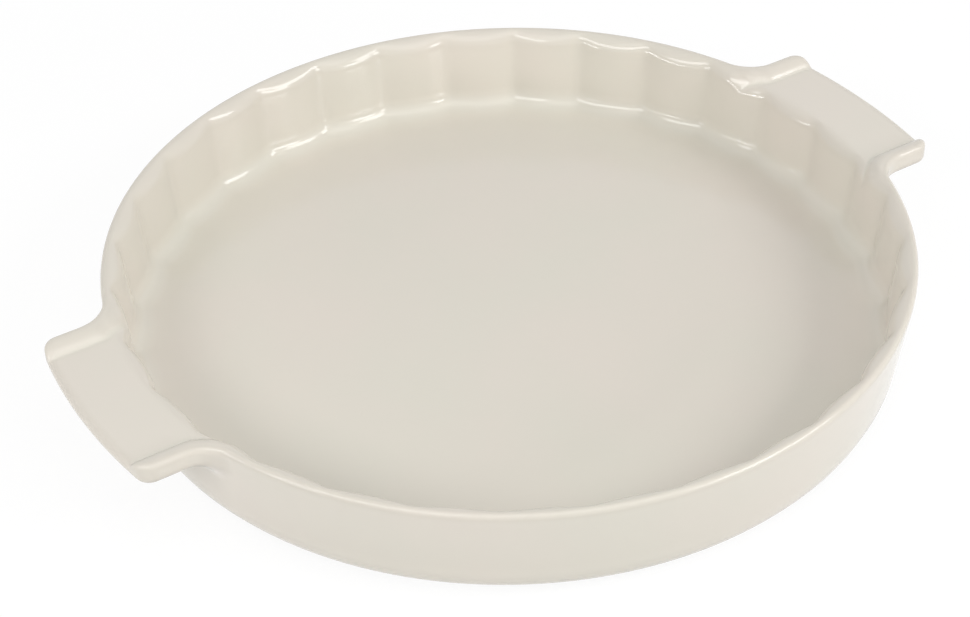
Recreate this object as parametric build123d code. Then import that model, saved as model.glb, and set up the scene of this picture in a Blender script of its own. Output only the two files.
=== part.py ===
from build123d import *
import math
import os

# A round glazed stoneware pie dish with a fluted inside wall and two tab handles.
# Millimetres. The origin is the centre of the foot, on the table. +Z is up and +X runs out
# through one handle.

# Dish body: the wall leans inwards from the rim to the underside
rim_radius = 150
wall_lean = 5.4
dish_height = 42
base_rounding = 8
rim_rounding = 2.4

# Foot ring under the base
foot_height = 2
foot_inset = 3.2
foot_width = 5
foot_edge_rounding = 0.8

# Fluted well. The rim is measured to the crests of the flutes, which lean inwards to the floor.
flute_count = 32
rim_width = 7.3
flute_lean = 3
flute_depth = 2.2
floor_thickness = 7
floor_fillet = 5

# Handles: a thin tab between two raised side lips
handle_reach = 22.3
handle_half_width = 41
handle_edge_radius = 230
handle_corner_rounding = 4.9
handle_root_length = 2
handle_root_fillet = 7
tab_thickness = 5
tab_edge_rounding = 1.2
tab_under_rounding = 2.8

# Recess that lowers the rim and the top of each tab between the lips
recess_depth = 3.4
recess_half_width = 32.4
recess_flare = 4.6
recess_flare_run = 5.5
recess_flare_rounding = 12
recess_mouth_rounding = 4
lip_tip_rounding = 2.8

# Turned roundings are cut as fans of flats, so that what repeats has few faces
base_rounding_flat_count = 3
flute_rounding_flat_count = 2
foot_rounding_flat_count = 1

# How far a cutter stands clear, and how near a point must be to lie on a seam
overrun = 10
seam_tolerance = 0.02

# The rim's inner rounding stops this far above the crest, so the two meet in a faint line
crest_relief = 0.04

# Roundings never take more than these shares of the wall, lip or tab that carries them
rim_rounding_share = 0.47
rim_tip_share = 0.9
lip_tip_share = 0.33
lip_corner_share = 0.65
tab_edge_share = 0.28
tab_under_share = 0.62

# Levels and radii that follow from the sizes above
underside_radius = rim_radius - wall_lean
well_rim_radius = rim_radius - rim_width
well_floor_radius = well_rim_radius - flute_lean
floor_level = foot_height + floor_thickness
tab_top_level = dish_height - recess_depth
tab_under_level = tab_top_level - tab_thickness
handle_tip = rim_radius + handle_reach
wall_split_x = rim_radius + handle_root_length
base_disc_radius = well_floor_radius - floor_fillet
foot_outer_radius = base_disc_radius - foot_inset
groove_rim_radius = well_rim_radius + flute_depth
flute_half_angle = 180 / flute_count

# Roundings as they are cut, limited by what carries them
lip_width = handle_half_width - recess_half_width
lip_tip_cut = min(lip_tip_rounding, lip_tip_share * lip_width)
lip_corner_cut = min(handle_corner_rounding, lip_corner_share * lip_width)
groove_wall = rim_radius - groove_rim_radius
rim_cut = min(rim_rounding, rim_rounding_share * groove_wall, rim_tip_share * lip_tip_cut)
tab_edge_cut = min(tab_edge_rounding, tab_edge_share * tab_thickness)
tab_under_cut = min(tab_under_rounding, tab_under_share * tab_thickness)
recess_bed_level = (tab_under_level + tab_under_cut + tab_top_level - tab_edge_cut) / 2

# Each flute is a pillow: a cone about an upright axis inside the wall, whose near side bulges
# into the well. Neighbouring pillows meet in a sharp groove.
half_chord = groove_rim_radius * math.sin(math.radians(flute_half_angle))
chord_rise = groove_rim_radius * math.cos(math.radians(flute_half_angle)) - well_rim_radius
pillow_rim_radius = (half_chord ** 2 + chord_rise ** 2) / (2 * chord_rise)
pillow_axis_radius = well_rim_radius + pillow_rim_radius
pillow_floor_radius = pillow_axis_radius - well_floor_radius


def wall_radius(level):
    """Outside radius of the leaning wall at a level, before its edges are rounded."""
    rise_share = (level - foot_height) / (dish_height - foot_height)
    return underside_radius + (rim_radius - underside_radius) * rise_share


def pillow_radius(level):
    """Radius of a pillow about its own axis at a level."""
    rise_share = (level - floor_level) / (dish_height - floor_level)
    return pillow_floor_radius + (pillow_rim_radius - pillow_floor_radius) * rise_share


def corner_near(sketch, x, y):
    """The sketch's corner closest to a point."""
    return sketch.vertices().sort_by_distance((x, y, 0))[0]


def upright(sketch, low, high):
    """A flat outline raised between two levels."""
    return extrude(Pos(0, 0, low) * sketch, high - low)


def flatted(profile, flats):
    """The same profile with each rounding cut as a fan of flats."""
    points = []
    for edge in profile.face().outer_wire().order_edges():
        steps = flats if edge.geom_type == GeomType.CIRCLE else 1
        points += edge.positions([step / steps for step in range(steps)])
    return make_face(Polyline(*points, close=True))


def turned(points, corners, flats, axis_x=0):
    """A profile of radii and levels turned about an upright axis, with some corners rounded."""
    profile = make_face(Polyline(*points, close=True))
    for x, y, rounding in corners:
        profile = fillet(corner_near(profile, x, y), rounding)
    return Pos(axis_x, 0, 0) * revolve(Plane.XZ * flatted(profile, flats), Axis.Z)


def dish_blank():
    """The outside of the dish as a solid puck, leaning wall and rounded base edge."""
    return turned(
        [(0, foot_height), (underside_radius, foot_height), (rim_radius, dish_height), (0, dish_height)],
        [(underside_radius, foot_height, base_rounding)],
        base_rounding_flat_count,
    )


def tab_outline():
    """Plan of one handle from the dish's centre line out, with a bowed outer edge."""
    strip = Pos(handle_tip / 2, 0) * Rectangle(handle_tip, 2 * handle_half_width)
    bow = Pos(handle_tip - handle_edge_radius, 0) * Circle(handle_edge_radius)
    outline = strip & bow
    for side in (-1, 1):
        corner = corner_near(outline, handle_tip, side * handle_half_width)
        outline = fillet(corner, lip_corner_cut)
    return outline


def free_edges(face):
    """The edges of a handle's flat face, apart from the one buried in the dish."""
    return face.edges().filter_by(lambda edge: (edge @ 0.5).X > seam_tolerance)


def handle_block():
    """One handle at the full height of its lips, with its lower outer edge rounded."""
    block = upright(tab_outline(), tab_under_level, dish_height)
    return fillet(free_edges(block.faces().sort_by(Axis.Z)[0]), tab_under_cut)


def tab_block():
    """The low tab between the lips, with its lower and upper outer edges rounded."""
    block = upright(tab_outline(), tab_under_level, tab_top_level)
    block = fillet(free_edges(block.faces().sort_by(Axis.Z)[0]), tab_under_cut)
    return fillet(free_edges(block.faces().sort_by(Axis.Z)[-1]), tab_edge_cut)


def recess_outline():
    """Plan of the band between the lips, from one handle across the well to the other."""
    flare_x = (rim_radius + well_rim_radius) / 2
    mouth_x = flare_x - recess_flare_run
    mouth_y = recess_half_width + recess_flare
    outer_x = handle_tip + overrun
    side = [(outer_x, recess_half_width), (flare_x, recess_half_width), (mouth_x, mouth_y)]
    far_side = [(-x, y) for x, y in reversed(side)]
    near_half = [(-x, -y) for x, y in side + far_side]
    outline = make_face(Polyline(*side, *far_side, *near_half, close=True))
    for x_sign in (-1, 1):
        for y_sign in (-1, 1):
            start = corner_near(outline, x_sign * flare_x, y_sign * recess_half_width)
            outline = fillet(start, recess_flare_rounding)
            mouth = corner_near(outline, x_sign * mouth_x, y_sign * mouth_y)
            outline = fillet(mouth, recess_mouth_rounding)
    return outline


def is_root_edge(edge):
    """Whether an edge is where a handle grows out of the leaning wall."""
    middle = edge @ 0.5
    on_wall = abs(math.hypot(middle.X, middle.Y) - wall_radius(middle.Z)) < seam_tolerance
    beside_tab = tab_under_level - seam_tolerance < middle.Z < dish_height - seam_tolerance
    return on_wall and beside_tab


def is_tip_edge(edge):
    """Whether an edge is the upright corner between a lip's inner side and the handle's end."""
    start, end = edge @ 0, edge @ 1
    stands = math.hypot(start.X - end.X, start.Y - end.Y) < seam_tolerance
    at_lip = abs(abs(start.Y) - recess_half_width) < seam_tolerance
    return stands and at_lip and abs(start.X) > wall_split_x


def outer_form():
    """The whole outside: puck, handles and lips, with the recess sunk between the lips."""
    handle = handle_block()
    form = dish_blank() + handle + Rot(0, 0, 180) * handle
    form = fillet(form.edges().filter_by(is_root_edge), handle_root_fillet)
    form = form - upright(recess_outline(), recess_bed_level, dish_height + overrun)
    form = fillet(form.edges().filter_by(is_tip_edge), lip_tip_cut)
    crest = form.faces().filter_by(lambda face: face.center().Z > dish_height - seam_tolerance)
    form = fillet(crest.edges(), rim_cut)
    tab = tab_block()
    return form + tab + Rot(0, 0, 180) * tab


def pillow(top_level):
    """One pillow up to a level, standing on a slab whose top is the dish's floor."""
    slab_radius = pillow_floor_radius + floor_fillet + overrun
    slab_bottom = floor_level - overrun
    crown = pillow_radius(top_level)
    return turned(
        [
            (0, slab_bottom),
            (slab_radius, slab_bottom),
            (slab_radius, floor_level),
            (pillow_floor_radius, floor_level),
            (crown, top_level),
            (0, top_level),
        ],
        [(pillow_floor_radius, floor_level, floor_fillet), (crown, top_level, rim_cut)],
        flute_rounding_flat_count,
        pillow_axis_radius,
    )


def flute_cutter(top_level):
    """What one flute takes away: its sector of the well in front of its pillow."""
    inner = base_disc_radius - overrun
    outer = groove_rim_radius + 2 * rim_cut
    spread_share = math.tan(math.radians(flute_half_angle))
    plan = Polygon(
        (inner, -inner * spread_share),
        (outer, -outer * spread_share),
        (outer, outer * spread_share),
        (inner, inner * spread_share),
        align=None,
    )
    sector = upright(plan, floor_level - overrun / 2, dish_height + overrun)
    return sector - pillow(top_level + crest_relief)


def fluted_ring(top_level, first, last):
    """Neighbouring flute cutters joined side by side."""
    cutter = flute_cutter(top_level)
    turns = [2 * flute_half_angle * (index + 1 / 2) for index in range(first, last)]
    cutters = [Rot(0, 0, turn) * cutter for turn in turns]
    return cutters[0].fuse(*cutters[1:])


def well_cutter():
    """The whole fluted well up to the crest of the rim."""
    core = upright(Circle(base_disc_radius - overrun / 2), floor_level, dish_height + overrun)
    return core + fluted_ring(dish_height, 0, flute_count)


def low_edge_cutter():
    """The rounding of the well's edge where the recess lowers it, at one handle."""
    reach = math.degrees(math.asin((recess_half_width + recess_flare) / well_rim_radius))
    steps = math.ceil(reach / (2 * flute_half_angle))
    band = upright(recess_outline(), tab_top_level - rim_cut, dish_height + overrun)
    return fluted_ring(tab_top_level, -steps, steps) & band


def foot_ring():
    """The unglazed ring that the dish stands on."""
    inner = foot_outer_radius - foot_width
    return turned(
        [(inner, 0), (foot_outer_radius, 0), (foot_outer_radius, foot_height), (inner, foot_height)],
        [(inner, 0, foot_edge_rounding), (foot_outer_radius, 0, foot_edge_rounding)],
        foot_rounding_flat_count,
    )


def dish_pieces():
    """The glazed body as four pieces that meet face to face: base, wall and two handles."""
    body = outer_form() - well_cutter() - low_edge_cutter() - Rot(0, 0, 180) * low_edge_cutter()
    base = upright(Circle(base_disc_radius), foot_height, floor_level)
    body = body - base
    right_face = Plane.YZ.offset(wall_split_x)
    left_face = Plane.YZ.offset(-wall_split_x)
    return {
        "base": base,
        "fluted_wall": split(split(body, right_face, keep=Keep.BOTTOM), left_face, keep=Keep.TOP),
        "handle_right": split(body, right_face, keep=Keep.TOP),
        "handle_left": split(body, left_face, keep=Keep.BOTTOM),
    }


os.makedirs("parts", exist_ok=True)
pieces = dish_pieces()
pieces["foot_ring"] = foot_ring()
for name, piece in pieces.items():
    export_step(piece, f"parts/{name}.step")
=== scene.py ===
import math

import bpy
import numpy as np
from mathutils import Euler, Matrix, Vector


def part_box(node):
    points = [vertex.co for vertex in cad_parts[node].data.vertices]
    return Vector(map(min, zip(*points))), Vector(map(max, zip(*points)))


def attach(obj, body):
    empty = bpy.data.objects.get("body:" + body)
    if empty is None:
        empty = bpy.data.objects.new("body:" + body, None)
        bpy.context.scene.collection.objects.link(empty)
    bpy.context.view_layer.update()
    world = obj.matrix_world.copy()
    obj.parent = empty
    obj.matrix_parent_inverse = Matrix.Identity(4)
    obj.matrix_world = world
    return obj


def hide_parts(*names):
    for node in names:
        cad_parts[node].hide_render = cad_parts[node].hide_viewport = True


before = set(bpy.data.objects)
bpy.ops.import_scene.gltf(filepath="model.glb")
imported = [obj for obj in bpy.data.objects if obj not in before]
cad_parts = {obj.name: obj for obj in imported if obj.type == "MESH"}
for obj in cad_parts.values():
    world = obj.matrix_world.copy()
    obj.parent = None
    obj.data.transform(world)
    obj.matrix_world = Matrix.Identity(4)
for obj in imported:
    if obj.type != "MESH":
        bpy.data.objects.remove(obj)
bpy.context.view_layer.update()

# Glazed dish: one pressed piece of stoneware, a plain wall that leans in to the foot, a rounded
# rim and two tab handles between soft rolled lips. It is dipped in glaze, which rounds every
# edge and softens every corner, so each meeting of faces has a radius of its own.
MM = 0.001
base_low, base_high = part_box("base")
wall_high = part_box("fluted_wall")[1]
tab_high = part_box("handle_right")[1]
top_level = wall_high.z / MM
under_level = base_low.z / MM
floor_level = base_high.z / MM
rim_radius = 149.88
wall_lean = 5.4
crest_radius = 142.7
floor_crest_radius = 139.7
flute_count = 32
handle_tip = tab_high.x / MM
handle_half_width = tab_high.y / MM
handle_edge_radius = 230.0
handle_corner_rounding = 4.9
handle_under_level = 33.6
root_fillet = 9.0
recess_level = 38.6
recess_half_width = 32.5
recess_flare = 3.0
flare_start = 149.0
flare_run = 8.0
recess_mouth = 3.6
mouth_start = 142.5
mouth_run = 6.5
lip_roll = 6.4
steepest_roll = 0.95
base_rounding = 8.0
rim_outside_rounding = 2.0
rim_inside_rounding = 6.0
recess_inside_rounding = 4.8
recess_margin = 3.0
recess_fade = 8.0
handle_side = 100.0
floor_rounding = 6.5
tab_under_rounding = 2.6
crease_rounding = 0.9
slope_step = 0.1


def round_max(a, b, radius):
    """The larger of two distances, with the edge where they meet rounded off."""
    corner = np.hypot(np.maximum(a + radius, 0), np.maximum(b + radius, 0))
    return np.minimum(-radius, np.maximum(a, b)) + corner


def round_min(a, b, radius):
    """The smaller of two distances, with the corner where they meet filled."""
    return -round_max(-a, -b, radius)


def soft_step(value):
    """A smooth rise from 0 to 1 as the value goes from 0 to 1."""
    share = np.clip(value, 0, 1)
    return share * share * (3 - 2 * share)


def recess_edge(x):
    """Half the width of the recess at a distance out: it flares where it opens into the well."""
    flare = recess_flare * soft_step((flare_start - np.abs(x)) / flare_run)
    mouth = recess_mouth * soft_step((mouth_start - np.abs(x)) / mouth_run)
    return recess_half_width + flare + mouth


def rim_top_level(x, y):
    """Height of the top surface: beside the low recess rises a rolled lip, its foot filled."""
    further, nearer = np.abs(x) + slope_step, np.abs(x) - slope_step
    slope = (recess_edge(further) - recess_edge(nearer)) / (2 * slope_step)
    beyond = (np.abs(y) - recess_edge(x)) / np.hypot(1, slope)
    rise = top_level - recess_level
    roll_radius = (lip_roll**2 + rise**2) / (2 * rise)
    short = np.clip(lip_roll - beyond, 0, steepest_roll * roll_radius)
    roll = top_level - roll_radius + np.sqrt(roll_radius**2 - short**2)
    blend = np.clip(0.5 + (roll - recess_level) / (2 * crease_rounding), 0, 1)
    return recess_level + (roll - recess_level) * blend + crease_rounding * blend * (1 - blend)


def outline_distance(x, y):
    """Distance outside a handle's plan: a strip that ends in a bow with rounded corners."""
    bow = np.hypot(np.abs(x) - (handle_tip - handle_edge_radius), y) - handle_edge_radius
    return round_max(np.abs(y) - handle_half_width, bow, handle_corner_rounding)


def surface_distance(point):
    """How far points lie outside the dish before its flutes are pressed, negative inside."""
    x, y, z = point.T
    radius = np.hypot(x, y)
    lean = wall_lean * (top_level - z) / (top_level - under_level)
    upright = math.cos(math.atan(wall_lean / (top_level - under_level)))
    wall = (radius - (rim_radius - lean)) * upright
    tab = round_max(outline_distance(x, y), handle_under_level - z, tab_under_rounding)
    outside = round_min(wall, tab, root_fillet)
    outside = round_max(outside, under_level - z, base_rounding)
    solid = round_max(outside, z - rim_top_level(x, y), rim_outside_rounding)
    depth = (top_level - z) / (top_level - floor_level)
    crest = crest_radius - (crest_radius - floor_crest_radius) * depth
    well = round_max(radius - crest, floor_level - z, floor_rounding)
    at_recess = soft_step((recess_edge(x) + recess_margin - np.abs(y)) / recess_fade)
    at_recess = at_recess * (np.abs(x) > handle_side)
    softness = rim_inside_rounding + (recess_inside_rounding - rim_inside_rounding) * at_recess
    return round_max(solid, -well, softness)


def settle(point):
    """Moves points along the distance's slope until they lie on the surface."""
    passes = 16
    probe = 0.005
    least_steepness = 0.1
    longest_move = 1.5
    move_share = 0.9
    for _ in range(passes):
        value = surface_distance(point)
        slope = np.empty_like(point)
        for axis, offset in enumerate(np.eye(3) * probe):
            change = surface_distance(point + offset) - surface_distance(point - offset)
            slope[:, axis] = change / (2 * probe)
        steepness = np.maximum((slope**2).sum(1), least_steepness)
        move = slope * (value / steepness)[:, None]
        length = np.maximum(np.linalg.norm(move, axis=1), 1e-9)
        point = point - move_share * move * np.minimum(1, longest_move / length)[:, None]
    return point


def column_angles(count):
    """Angles over a quarter turn, closer together at the grooves and beside the handles."""
    groove_crowding, groove_reach = 2.2, 1.1
    handle_crowding, handle_middle, handle_reach = 3.2, 15.9, 3.9
    fine = np.linspace(0, 90, 9001)
    pitch = 360 / flute_count
    from_groove = np.abs((fine + pitch / 2) % pitch - pitch / 2)
    weight = 1 + groove_crowding * np.exp(-((from_groove / groove_reach) ** 2))
    weight += handle_crowding * np.exp(-(((fine - handle_middle) / handle_reach) ** 6))
    share = np.concatenate([[0], np.cumsum((weight[1:] + weight[:-1]) / 2)])
    return np.interp(np.linspace(0, share[-1], count + 1), share, fine)


def arc(centre_x, centre_y, radius, turns):
    """Points of an arc, in plan."""
    return [(centre_x + radius * math.cos(turn), centre_y + radius * math.sin(turn)) for turn in turns]


def outline_point(angle):
    """Where a column at an angle meets the outer edge, in plan, and its angle under the handle."""
    bow, corner = handle_edge_radius, handle_corner_rounding
    bow_centre = handle_tip - bow
    corner_y = handle_half_width - corner
    corner_x = bow_centre + math.sqrt((bow - corner) ** 2 - corner_y**2)
    bow_end = math.atan2(corner_y, corner_x - bow_centre)
    root_y = handle_half_width + root_fillet
    root_x = math.sqrt((rim_radius + root_fillet) ** 2 - root_y**2)
    root_angle = math.atan2(root_y, root_x)

    bow_steps, corner_steps, root_steps, rim_steps = 60, 20, 20, 199
    half_turn, right_turn = math.pi, math.pi / 2
    corner_turns = np.linspace(bow_end, right_turn, corner_steps + 1)[1:]
    root_turns = np.linspace(-right_turn, root_angle - half_turn, root_steps)
    rim_turns = np.linspace(root_angle, right_turn, rim_steps + 1)[1:]
    path = arc(bow_centre, 0, bow, np.linspace(0, bow_end, bow_steps + 1))
    path += arc(corner_x, corner_y, corner, corner_turns)
    path += arc(root_x, root_y, root_fillet, root_turns)
    path += arc(0, 0, rim_radius, rim_turns)
    path = np.array(path)
    length = np.concatenate([[0], np.cumsum(np.linalg.norm(np.diff(path, axis=0), axis=1))])

    # Columns at the handle's middle, the lip, the corner's middle and end, the root's start and
    # end and the dish's side, in degrees at the outer edge and under the handle
    lip_start = np.interp(recess_half_width, path[: bow_steps + 1, 1], length[: bow_steps + 1])
    corner_end = bow_steps + corner_steps
    corner_middle, root_end = corner_end - corner_steps // 2, corner_end + root_steps
    after_root = math.degrees(root_angle) + 3
    marks = [0, 13.2, 14.7, 15.5, 16.9, after_root, 90]
    under_marks = [0, 12.3, 14.2, 15.1, 16.5, after_root, 90]
    places = [0, lip_start, *length[[corner_middle, corner_end, corner_end + 1, root_end, -1]]]
    along = np.interp(angle, marks, places)
    under_turn = np.radians(np.interp(angle, marks, under_marks))
    return np.interp(along, length, path[:, 0]), np.interp(along, length, path[:, 1]), under_turn


def eased(count):
    """Shares from 0 to 1, closer together towards both ends, without the last."""
    return (1 - np.cos(math.pi * np.arange(count) / count)) / 2


def full_turn(quarter_values, flip_x, flip_y):
    """Values for a whole turn from those of a quarter, mirrored in both upright planes."""
    first = quarter_values[:-1]
    back = quarter_values[:0:-1]
    return np.concatenate([first, flip_x * back, flip_x * flip_y * first, flip_y * back])


quarter_columns = 205
quarter = column_angles(quarter_columns)
out_x, out_y, under_turn = outline_point(quarter)
out_x = full_turn(out_x, -1, 1)
out_y = full_turn(out_y, 1, -1)
under_cosine = full_turn(np.cos(under_turn), -1, 1)
under_sine = full_turn(np.sin(under_turn), 1, -1)
cosine = full_turn(np.cos(np.radians(quarter)), -1, 1)
sine = full_turn(np.sin(np.radians(quarter)), 1, -1)


def ring_at(x, y, level):
    """A ring of points at a level or levels, one to a column."""
    return np.stack([x, y, np.broadcast_to(level, cosine.shape)], axis=1)


def circle(radius, level):
    """A round ring of points."""
    return ring_at(radius * cosine, radius * sine, level)


# Guide rings from the floor over the rim to the underside, each with the rows up to the next
floor_ring_radius = 116
under_ring_radius = 118
corner_inset = 0.8
corner_limit = 152.5
corner_level = 30.5
wall_inset = 2.6
wall_middle_level = 23
corner_reach = np.minimum(np.hypot(out_x, out_y) - corner_inset, corner_limit)
crest_ring = circle(crest_radius, rim_top_level(crest_radius * cosine, crest_radius * sine))
runs = [
    (circle(floor_ring_radius, floor_level), 8),
    (circle(floor_crest_radius, floor_level), 24),
    (crest_ring, 30),
    (ring_at(out_x, out_y, rim_top_level(out_x, out_y)), 12),
    (ring_at(out_x, out_y, handle_under_level), 10),
    (ring_at(corner_reach * under_cosine, corner_reach * under_sine, corner_level), 8),
    (circle(rim_radius - wall_inset, wall_middle_level), 10),
    (circle(rim_radius - wall_lean, under_level), 8),
    (circle(under_ring_radius, under_level), 0),
]
rows_to_edge = sum(count for _, count in runs[:3])
rings = []
for (start, count), (end, _) in zip(runs[:-1], runs[1:]):
    for share in eased(count):
        ring = start + (end - start) * share
        if start is crest_ring:
            ring[:, 2] = rim_top_level(ring[:, 0], ring[:, 1])
        rings.append(ring)
rings.append(runs[-1][0])
rings = np.array(rings)
ring_count, column_count = rings.shape[:2]
surface = settle(rings.reshape(-1, 3))

faces = []
for ring in range(ring_count - 1):
    for column in range(column_count):
        beside = (column + 1) % column_count
        low, high = ring * column_count, (ring + 1) * column_count
        faces.append((low + column, high + column, high + beside, low + beside))
faces.append(tuple(range(column_count)))
faces.append(tuple(reversed(range((ring_count - 1) * column_count, ring_count * column_count))))
blank_mesh = bpy.data.meshes.new("glazed_dish")
blank_mesh.from_pydata((surface * MM).tolist(), [], faces)
blank_mesh.shade_smooth()

# How strongly each point is pressed: fully on the wall, fading out over the rim and the floor
rim_fade_lead = 0.2
rim_fade = 5.2
floor_fade_radius = 121
floor_fade = 12
wall_half_level = 25
radius = np.hypot(surface[:, 0], surface[:, 1])
over_rim = np.clip((radius - crest_radius + rim_fade_lead) / rim_fade, 0, 1)
over_floor = 1 - soft_step((radius - floor_fade_radius) / floor_fade)
pressed = 1 - np.where(surface[:, 2] > wall_half_level, over_rim, over_floor)
pressed[rows_to_edge * column_count :] = 0

# How sharply the surface bends: glaze thins where it bulges; where it is hollow the colour is
# darkened, partly for pooled glaze and partly as painted shade
bend_reach = 2
thin_bend = 0.25
pool_and_shade_bend = 0.2
bend = -6 * surface_distance(surface)
for axis in np.eye(3) * bend_reach:
    bend += surface_distance(surface + axis) + surface_distance(surface - axis)
bend /= bend_reach**2
masks = {
    "pressed": pressed,
    "thinned": np.clip(bend / thin_bend, 0, 1),
    # Hollows: darker glaze, partly pooled glaze and partly painted shade
    "pooled_and_shaded": np.clip(-bend / pool_and_shade_bend, 0, 1),
}
for name, mask in masks.items():
    attribute = blank_mesh.attributes.new(name, "FLOAT", "POINT")
    attribute.data.foreach_set("value", mask.astype(np.float32))
dish = bpy.data.objects.new("glazed_dish", blank_mesh)
bpy.context.scene.collection.objects.link(dish)

# Glaze: a warm cream, glossy but not a mirror. Hollows and corners are darker and cooler, partly glaze
# pooled deeper and partly painted shade, the grooves are darker as painted shade, and it thins over
# edges, where the warm clay shows through.
cool_cream = (0.702, 0.672, 0.592, 1)
warm_cream = (0.722, 0.672, 0.600, 1)
# Darker tints: in hollows partly pooled glaze and partly painted shade, in the grooves painted shade
pooled_and_shaded_cream = (0.62, 0.62, 0.53, 1)
groove_shade_cream = (0.62, 0.59, 0.50, 1)
thinned_cream = (0.61, 0.565, 0.49, 1)
most_pooled_and_shaded = 0.22
most_groove_shade = 0.2
most_thinned = 0.36
glaze_roughness = (0.10, 0.16)
kiln_mottle = bpy.data.node_groups.new("Kiln Mottle", "ShaderNodeTree")
sockets = kiln_mottle.interface
sockets.new_socket("Position", in_out="INPUT", socket_type="NodeSocketVector")
for name in ("Cloud Scale", "Grain Scale"):
    sockets.new_socket(name, in_out="INPUT", socket_type="NodeSocketFloat")
for name in ("Cloud", "Grain"):
    sockets.new_socket(name, in_out="OUTPUT", socket_type="NodeSocketFloat")
mottle_in = kiln_mottle.nodes.new("NodeGroupInput")
mottle_out = kiln_mottle.nodes.new("NodeGroupOutput")
for scale, result, detail in (("Cloud Scale", "Cloud", 3.0), ("Grain Scale", "Grain", 2.0)):
    noise = kiln_mottle.nodes.new("ShaderNodeTexNoise")
    noise.inputs["Detail"].default_value = detail
    noise.inputs["Roughness"].default_value = 0.5
    kiln_mottle.links.new(mottle_in.outputs["Position"], noise.inputs["Vector"])
    kiln_mottle.links.new(mottle_in.outputs[scale], noise.inputs["Scale"])
    kiln_mottle.links.new(noise.outputs["Fac"], mottle_out.inputs[result])


def new_material(name):
    """A material with nodes, and its main shader."""
    material = bpy.data.materials.new(name)
    material.use_nodes = True
    return material, material.node_tree.nodes["Principled BSDF"]


def add_mottle(material, cloud_scale, grain_scale):
    """Puts the kiln mottle in a material, on the piece's own coordinates."""
    place = material.node_tree.nodes.new("ShaderNodeTexCoord")
    mottle = material.node_tree.nodes.new("ShaderNodeGroup")
    mottle.node_tree = kiln_mottle
    mottle.inputs["Cloud Scale"].default_value = cloud_scale
    mottle.inputs["Grain Scale"].default_value = grain_scale
    material.node_tree.links.new(place.outputs["Object"], mottle.inputs["Position"])
    return mottle.outputs


def spread(owner, value, low, high, to_low, to_high):
    """Maps a value's range onto another, clamped, in the nodes of a material or the room."""
    node = owner.node_tree.nodes.new("ShaderNodeMapRange")
    owner.node_tree.links.new(value, node.inputs["Value"])
    node.inputs["From Min"].default_value = low
    node.inputs["From Max"].default_value = high
    node.inputs["To Min"].default_value = to_low
    node.inputs["To Max"].default_value = to_high
    return node.outputs["Result"]


def blend_colours(material, share, below, above):
    """Mixes two colours, given as sockets or values, by a share."""
    node = material.node_tree.nodes.new("ShaderNodeMix")
    node.data_type = "RGBA"
    material.node_tree.links.new(share, node.inputs["Factor"])
    for side, colour in (("A", below), ("B", above)):
        spot = next(slot for slot in node.inputs if slot.name == side and slot.type == "RGBA")
        if isinstance(colour, tuple):
            spot.default_value = colour
        else:
            material.node_tree.links.new(colour, spot)
    return next(slot for slot in node.outputs if slot.type == "RGBA")


def tint_by_mask(material, mask, most, below, above):
    """Tints a colour, up to a share, where the mesh carries a mask."""
    node = material.node_tree.nodes.new("ShaderNodeAttribute")
    node.attribute_name = mask
    share = spread(material, node.outputs["Fac"], 0.0, 1.0, 0.0, most)
    return blend_colours(material, share, below, above)


def add_bump(material, height, strength, distance):
    """Lets a height shape the material's normal a little."""
    node = material.node_tree.nodes.new("ShaderNodeBump")
    node.inputs["Strength"].default_value = strength
    node.inputs["Distance"].default_value = distance
    material.node_tree.links.new(height, node.inputs["Height"])
    shader = material.node_tree.nodes["Principled BSDF"]
    material.node_tree.links.new(node.outputs["Normal"], shader.inputs["Normal"])


glaze, shader = new_material("cream_glaze")
shader.inputs["IOR"].default_value = 1.5
mottle = add_mottle(glaze, cloud_scale=14.0, grain_scale=95.0)
clouds = spread(glaze, mottle["Cloud"], 0.35, 0.65, 0.0, 1.0)
colour = blend_colours(glaze, clouds, cool_cream, warm_cream)
# Painted shade: hollows and creases darkened, partly as pooled glaze
colour = tint_by_mask(glaze, "pooled_and_shaded", most_pooled_and_shaded, colour, pooled_and_shaded_cream)
# Painted shade: the bottoms of the grooves darkened
colour = tint_by_mask(glaze, "groove", most_groove_shade, colour, groove_shade_cream)
colour = tint_by_mask(glaze, "thinned", most_thinned, colour, thinned_cream)
glaze.node_tree.links.new(colour, shader.inputs["Base Color"])
gloss = spread(glaze, mottle["Grain"], 0.3, 0.7, *glaze_roughness)
glaze.node_tree.links.new(gloss, shader.inputs["Roughness"])
add_bump(glaze, mottle["Grain"], strength=0.12, distance=0.6 * MM)

# The flutes are pressed into the wall's inside: each is a pillow that bulges into the well, and
# neighbouring pillows meet in a groove that the glaze half fills.
flute_depth = 2.6
groove_softness = 3.0
groove_shade_sharpness = 6.0
whole_turns = 100.0
flutes = bpy.data.node_groups.new("Flutes", "GeometryNodeTree")
flutes.is_modifier = True
flutes.interface.new_socket("Geometry", in_out="INPUT", socket_type="NodeSocketGeometry")
flute_sizes = {
    "Flute Count": float(flute_count),
    "Flute Depth": flute_depth * MM,
    "Crest Radius": crest_radius * MM,
    "Floor Crest Radius": floor_crest_radius * MM,
    "Rim Level": top_level * MM,
    "Floor Level": floor_level * MM,
    "Groove Softness": groove_softness * MM,
}
for name in flute_sizes:
    flutes.interface.new_socket(name, in_out="INPUT", socket_type="NodeSocketFloat")
flutes.interface.new_socket("Material", in_out="INPUT", socket_type="NodeSocketMaterial")
flutes.interface.new_socket("Geometry", in_out="OUTPUT", socket_type="NodeSocketGeometry")
nodes, links = flutes.nodes, flutes.links
given = {socket.name: socket for socket in nodes.new("NodeGroupInput").outputs}


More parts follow.
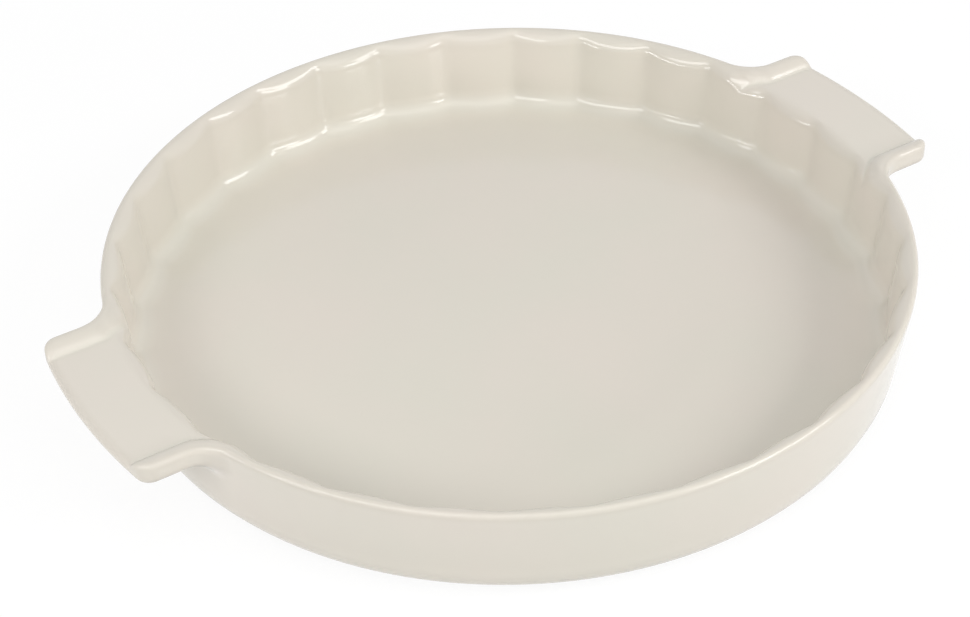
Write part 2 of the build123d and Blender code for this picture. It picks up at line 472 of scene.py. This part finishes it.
def calc(operation, *values):
    """A Math node of the flute tree on numbers or sockets."""
    node = flutes.nodes.new("ShaderNodeMath")
    node.operation = operation
    for slot, value in zip(node.inputs, values):
        if isinstance(value, float):
            slot.default_value = value
        else:
            flutes.links.new(value, slot)
    return node.outputs[0]


def square(value):
    """The square of a socket's value."""
    return calc("MULTIPLY", value, value)


position = nodes.new("ShaderNodeSeparateXYZ")
links.new(nodes.new("GeometryNodeInputPosition").outputs[0], position.inputs[0])
x, y, z = position.outputs
strength = nodes.new("GeometryNodeInputNamedAttribute")
strength.data_type = "FLOAT"
strength.inputs["Name"].default_value = "pressed"

# A pillow's radius and axis follow from the chord between its two grooves
pitch = calc("DIVIDE", math.tau, given["Flute Count"])
half_pitch = calc("MULTIPLY", pitch, 0.5)
groove_radius = calc("ADD", given["Crest Radius"], given["Flute Depth"])
half_chord = calc("MULTIPLY", groove_radius, calc("SINE", half_pitch))
chord_reach = calc("MULTIPLY", groove_radius, calc("COSINE", half_pitch))
bulge = calc("SUBTRACT", chord_reach, given["Crest Radius"])
bulge_squares = calc("ADD", square(half_chord), square(bulge))
pillow_radius = calc("DIVIDE", bulge_squares, calc("MULTIPLY", bulge, 2.0))
pillow_axis = calc("ADD", given["Crest Radius"], pillow_radius)
well_depth = calc("SUBTRACT", given["Rim Level"], given["Floor Level"])
up_wall = calc("DIVIDE", calc("SUBTRACT", z, given["Floor Level"]), well_depth)
up_wall = calc("MINIMUM", calc("MAXIMUM", up_wall, 0.0), 1.0)
lean = calc("SUBTRACT", given["Crest Radius"], given["Floor Crest Radius"])
crest = calc("ADD", given["Floor Crest Radius"], calc("MULTIPLY", lean, up_wall))
pillow_here = calc("SUBTRACT", pillow_axis, crest)


def pillow_reach(turn):
    """Distance from the dish's axis to a pillow at an angle from the pillow's middle."""
    across = calc("MULTIPLY", pillow_axis, calc("SINE", turn))
    behind = calc("SUBTRACT", square(pillow_here), square(across))
    behind = calc("SQRT", calc("MAXIMUM", behind, 0.0))
    return calc("SUBTRACT", calc("MULTIPLY", pillow_axis, calc("COSINE", turn)), behind)


# Whole turns are added so that the share of a pitch is never negative
pitches = calc("ADD", calc("DIVIDE", calc("ARCTAN2", y, x), pitch), whole_turns)
from_middle = calc("ABSOLUTE", calc("SUBTRACT", calc("FRACT", pitches), 0.5))
from_middle = calc("MULTIPLY", from_middle, pitch)
own_pillow = pillow_reach(from_middle)
next_pillow = pillow_reach(calc("SUBTRACT", pitch, from_middle))
well_side = calc("SMOOTH_MIN", own_pillow, next_pillow, given["Groove Softness"])
sunk = calc("SUBTRACT", well_side, crest)
pressed_in = strength.outputs["Attribute"]
from_axis = calc("SQRT", calc("ADD", square(x), square(y)))
pressed_to = calc("ADD", from_axis, calc("MULTIPLY", sunk, pressed_in))
stretch = calc("DIVIDE", pressed_to, from_axis)
moved = nodes.new("ShaderNodeCombineXYZ")
links.new(calc("MULTIPLY", x, stretch), moved.inputs[0])
links.new(calc("MULTIPLY", y, stretch), moved.inputs[1])
links.new(z, moved.inputs[2])
press = nodes.new("GeometryNodeSetPosition")
links.new(given["Geometry"], press.inputs["Geometry"])
links.new(moved.outputs[0], press.inputs["Position"])
# The groove mask carries painted shade: the glaze is darkened most at the bottom of each groove
groove_shade_mask = nodes.new("GeometryNodeStoreNamedAttribute")
groove_shade_mask.data_type = "FLOAT"
groove_shade_mask.domain = "POINT"
groove_shade_mask.inputs["Name"].default_value = "groove"
links.new(press.outputs[0], groove_shade_mask.inputs["Geometry"])
depth_share = calc("DIVIDE", sunk, given["Flute Depth"])
depth_share = calc("POWER", depth_share, groove_shade_sharpness)
links.new(calc("MULTIPLY", depth_share, pressed_in), groove_shade_mask.inputs["Value"])
realize = nodes.new("GeometryNodeRealizeInstances")
links.new(groove_shade_mask.outputs[0], realize.inputs[0])
dress = nodes.new("GeometryNodeSetMaterial")
links.new(realize.outputs[0], dress.inputs["Geometry"])
links.new(given["Material"], dress.inputs["Material"])
links.new(dress.outputs[0], nodes.new("NodeGroupOutput").inputs[0])

modifier = dish.modifiers.new("Flutes", "NODES")
modifier.node_group = flutes
for item in flutes.interface.items_tree:
    if item.name in flute_sizes:
        modifier[item.identifier] = flute_sizes[item.name]
    if item.name == "Material":
        modifier[item.identifier] = glaze
evaluated = dish.evaluated_get(bpy.context.evaluated_depsgraph_get())
fluted_mesh = bpy.data.meshes.new_from_object(evaluated)
dish.modifiers.clear()
dish.data = fluted_mesh
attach(dish, "root")
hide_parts("base", "fluted_wall", "handle_left", "handle_right")

# Foot ring: bare fired clay, turned with the dish and wiped clean of glaze, so that the dish
# doesn't stick to the kiln shelf. Its two lower edges are worn round by years of standing.
foot_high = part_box("foot_ring")[1]
foot_outer_radius = foot_high.x / MM
foot_width = 5.0
foot_rounding = 0.8
foot_rounding_steps = 5
foot_seat = 0.3
foot_columns = 240
pale_clay = (0.63, 0.53, 0.42, 1)
deep_clay = (0.57, 0.47, 0.36, 1)
dark_grit = (0.36, 0.28, 0.20, 1)
foot_top_level = foot_high.z / MM + foot_seat
foot_profile = [(foot_outer_radius - foot_width, foot_top_level)]
inner_turn = (foot_outer_radius - foot_width + foot_rounding, 180)
outer_turn = (foot_outer_radius - foot_rounding, 270)
for centre, start in (inner_turn, outer_turn):
    for turn in np.radians(np.linspace(start, start + 90, foot_rounding_steps + 1)):
        across = centre + foot_rounding * math.cos(turn)
        foot_profile.append((across, foot_rounding + foot_rounding * math.sin(turn)))
foot_profile.append((foot_outer_radius, foot_top_level))
foot_points = []
foot_faces = []
for column in range(foot_columns):
    turn = math.tau * column / foot_columns
    for across, level in foot_profile:
        foot_points.append((across * math.cos(turn) * MM, across * math.sin(turn) * MM, level * MM))
    here, beside = column * len(foot_profile), (column + 1) % foot_columns * len(foot_profile)
    for step in range(len(foot_profile)):
        after = (step + 1) % len(foot_profile)
        foot_faces.append((here + step, beside + step, beside + after, here + after))
foot_mesh = bpy.data.meshes.new("turned_foot")
foot_mesh.from_pydata(foot_points, [], foot_faces)
foot_mesh.shade_smooth()
foot = bpy.data.objects.new("turned_foot", foot_mesh)
bpy.context.scene.collection.objects.link(foot)
clay, shader = new_material("bare_clay")
mottle = add_mottle(clay, cloud_scale=40.0, grain_scale=900.0)
clouds = spread(clay, mottle["Cloud"], 0.35, 0.65, 0.0, 1.0)
colour = blend_colours(clay, clouds, deep_clay, pale_clay)
grit = spread(clay, mottle["Grain"], 0.60, 0.68, 0.0, 0.5)
colour = blend_colours(clay, grit, colour, dark_grit)
clay.node_tree.links.new(colour, shader.inputs["Base Color"])
dryness = spread(clay, mottle["Cloud"], 0.3, 0.7, 0.8, 0.95)
clay.node_tree.links.new(dryness, shader.inputs["Roughness"])
add_bump(clay, mottle["Grain"], strength=0.4, distance=0.3 * MM)
foot_mesh.materials.append(clay)
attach(foot, "root")
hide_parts("foot_ring")

# Table: a plain sheet of white paper under the dish. The camera and the glaze's gloss see it
# nearly burnt out to white, with a soft shadow left, and it bounces light like ordinary paper.
sheet_half_width = 6.0
grey_fibre = (0.71, 0.71, 0.71, 1)
white_fibre = (0.73, 0.73, 0.73, 1)
pure_white = (1, 1, 1, 1)
burnt_out_share = 0.85
burnt_out_strength = 1.06


def seen_directly(tree):
    """1 where the camera or a glossy reflection sees the surface, and 0 for other light."""
    seen_by = tree.nodes.new("ShaderNodeLightPath")
    seen = tree.nodes.new("ShaderNodeMath")
    seen.operation = "MAXIMUM"
    tree.links.new(seen_by.outputs["Is Camera Ray"], seen.inputs[0])
    tree.links.new(seen_by.outputs["Is Glossy Ray"], seen.inputs[1])
    return seen.outputs[0]


def show_mix(tree, share, below, above, output):
    """Leads a mix of two shaders to a tree's output."""
    mix = tree.nodes.new("ShaderNodeMixShader")
    tree.links.new(share, mix.inputs["Fac"])
    tree.links.new(below.outputs[0], mix.inputs[1])
    tree.links.new(above.outputs[0], mix.inputs[2])
    tree.links.new(mix.outputs[0], tree.nodes[output].inputs["Surface"])


table_mesh = bpy.data.meshes.new("paper_sheet")
edge = sheet_half_width
corners = [(-edge, -edge, 0), (edge, -edge, 0), (edge, edge, 0), (-edge, edge, 0)]
table_mesh.from_pydata(corners, [], [(0, 1, 2, 3)])
table = bpy.data.objects.new("paper_sheet", table_mesh)
bpy.context.scene.collection.objects.link(table)
paper, shader = new_material("white_paper")
nodes, links = paper.node_tree.nodes, paper.node_tree.links
shader.inputs["Roughness"].default_value = 0.9
mottle = add_mottle(paper, cloud_scale=30.0, grain_scale=1200.0)
fibres = spread(paper, mottle["Grain"], 0.3, 0.7, 0.0, 1.0)
links.new(blend_colours(paper, fibres, grey_fibre, white_fibre), shader.inputs["Base Color"])
bright_paper = nodes.new("ShaderNodeEmission")
bright_paper.inputs["Color"].default_value = pure_white
bright_paper.inputs["Strength"].default_value = burnt_out_strength
share = nodes.new("ShaderNodeMath")
share.operation = "MULTIPLY"
links.new(seen_directly(paper.node_tree), share.inputs[0])
share.inputs[1].default_value = burnt_out_share
show_mix(paper.node_tree, share.outputs[0], shader, bright_paper, "Material Output")
table_mesh.materials.append(paper)

# Studio: a soft room that is brighter on the side away from the camera, and soft boxes on the
# camera's side: two low, two at the camera's height and one above.
# The boxes' turns are from the camera's side, all in degrees, and their sizes are in metres.
camera_turn = -122.3
dim_side = 0.27
bright_side = 0.88
lamp_distance = 1.6
room = bpy.data.worlds.new("studio_room")
bpy.context.scene.world = room
room.use_nodes = True
nodes, links = room.node_tree.nodes, room.node_tree.links
nodes["Background"].inputs["Color"].default_value = pure_white
facing = nodes.new("ShaderNodeVectorMath")
facing.operation = "DOT_PRODUCT"
away = math.radians(camera_turn + 180)
facing.inputs[1].default_value = (math.cos(away), math.sin(away), 0)
links.new(nodes.new("ShaderNodeTexCoord").outputs["Generated"], facing.inputs[0])
glow = spread(room, facing.outputs["Value"], 0.0, 1.0, dim_side, bright_side)
links.new(glow, nodes["Background"].inputs["Strength"])
white_room = nodes.new("ShaderNodeBackground")
white_room.inputs["Color"].default_value = pure_white
white_room.inputs["Strength"].default_value = 1.0
seen = seen_directly(room.node_tree)
show_mix(room.node_tree, seen, nodes["Background"], white_room, "World Output")
soft_boxes = (
    # name, turn, rise, width, height, watts
    ("low_left_strip", -60, 8, 0.90, 0.08, 4.1),
    ("low_right_box", 54, 18, 0.60, 0.30, 4.6),
    ("left_box", -38, 36, 1.15, 0.45, 8.0),
    ("right_box", 72, 35, 0.80, 0.50, 8.6),
    ("high_box", 15, 60, 1.50, 1.20, 5.9),
)
for name, turn, rise, width, height, watts in soft_boxes:
    lamp_data = bpy.data.lights.new(name, "AREA")
    lamp_data.shape = "RECTANGLE"
    lamp_data.size = width
    lamp_data.size_y = height
    lamp_data.energy = watts
    lamp = bpy.data.objects.new(name, lamp_data)
    bpy.context.scene.collection.objects.link(lamp)
    turn, rise = math.radians(camera_turn + turn), math.radians(rise)
    level_reach = math.cos(rise)
    toward = Vector((level_reach * math.cos(turn), level_reach * math.sin(turn), math.sin(rise)))
    lamp.location = lamp_distance * toward
    lamp.rotation_euler = toward.to_track_quat("Z", "Y").to_euler()

# Camera: a long lens above the near edge of the dish, looking down at it. Its place and turn
# bring the rim, the flutes and the lips to where the photograph has them.
camera_turns = (51.8686, 1.3044, -32.4960)
camera_data = bpy.data.cameras.new("camera")
camera_data.sensor_width = 36.0
camera_data.lens = 83.43
camera = bpy.data.objects.new("camera", camera_data)
bpy.context.scene.collection.objects.link(camera)
camera.location = (-0.357004, -0.565624, 0.533422)
camera.rotation_euler = Euler([math.radians(turn) for turn in camera_turns])
bpy.context.scene.camera = camera
bpy.context.scene.view_settings.view_transform = "Standard"
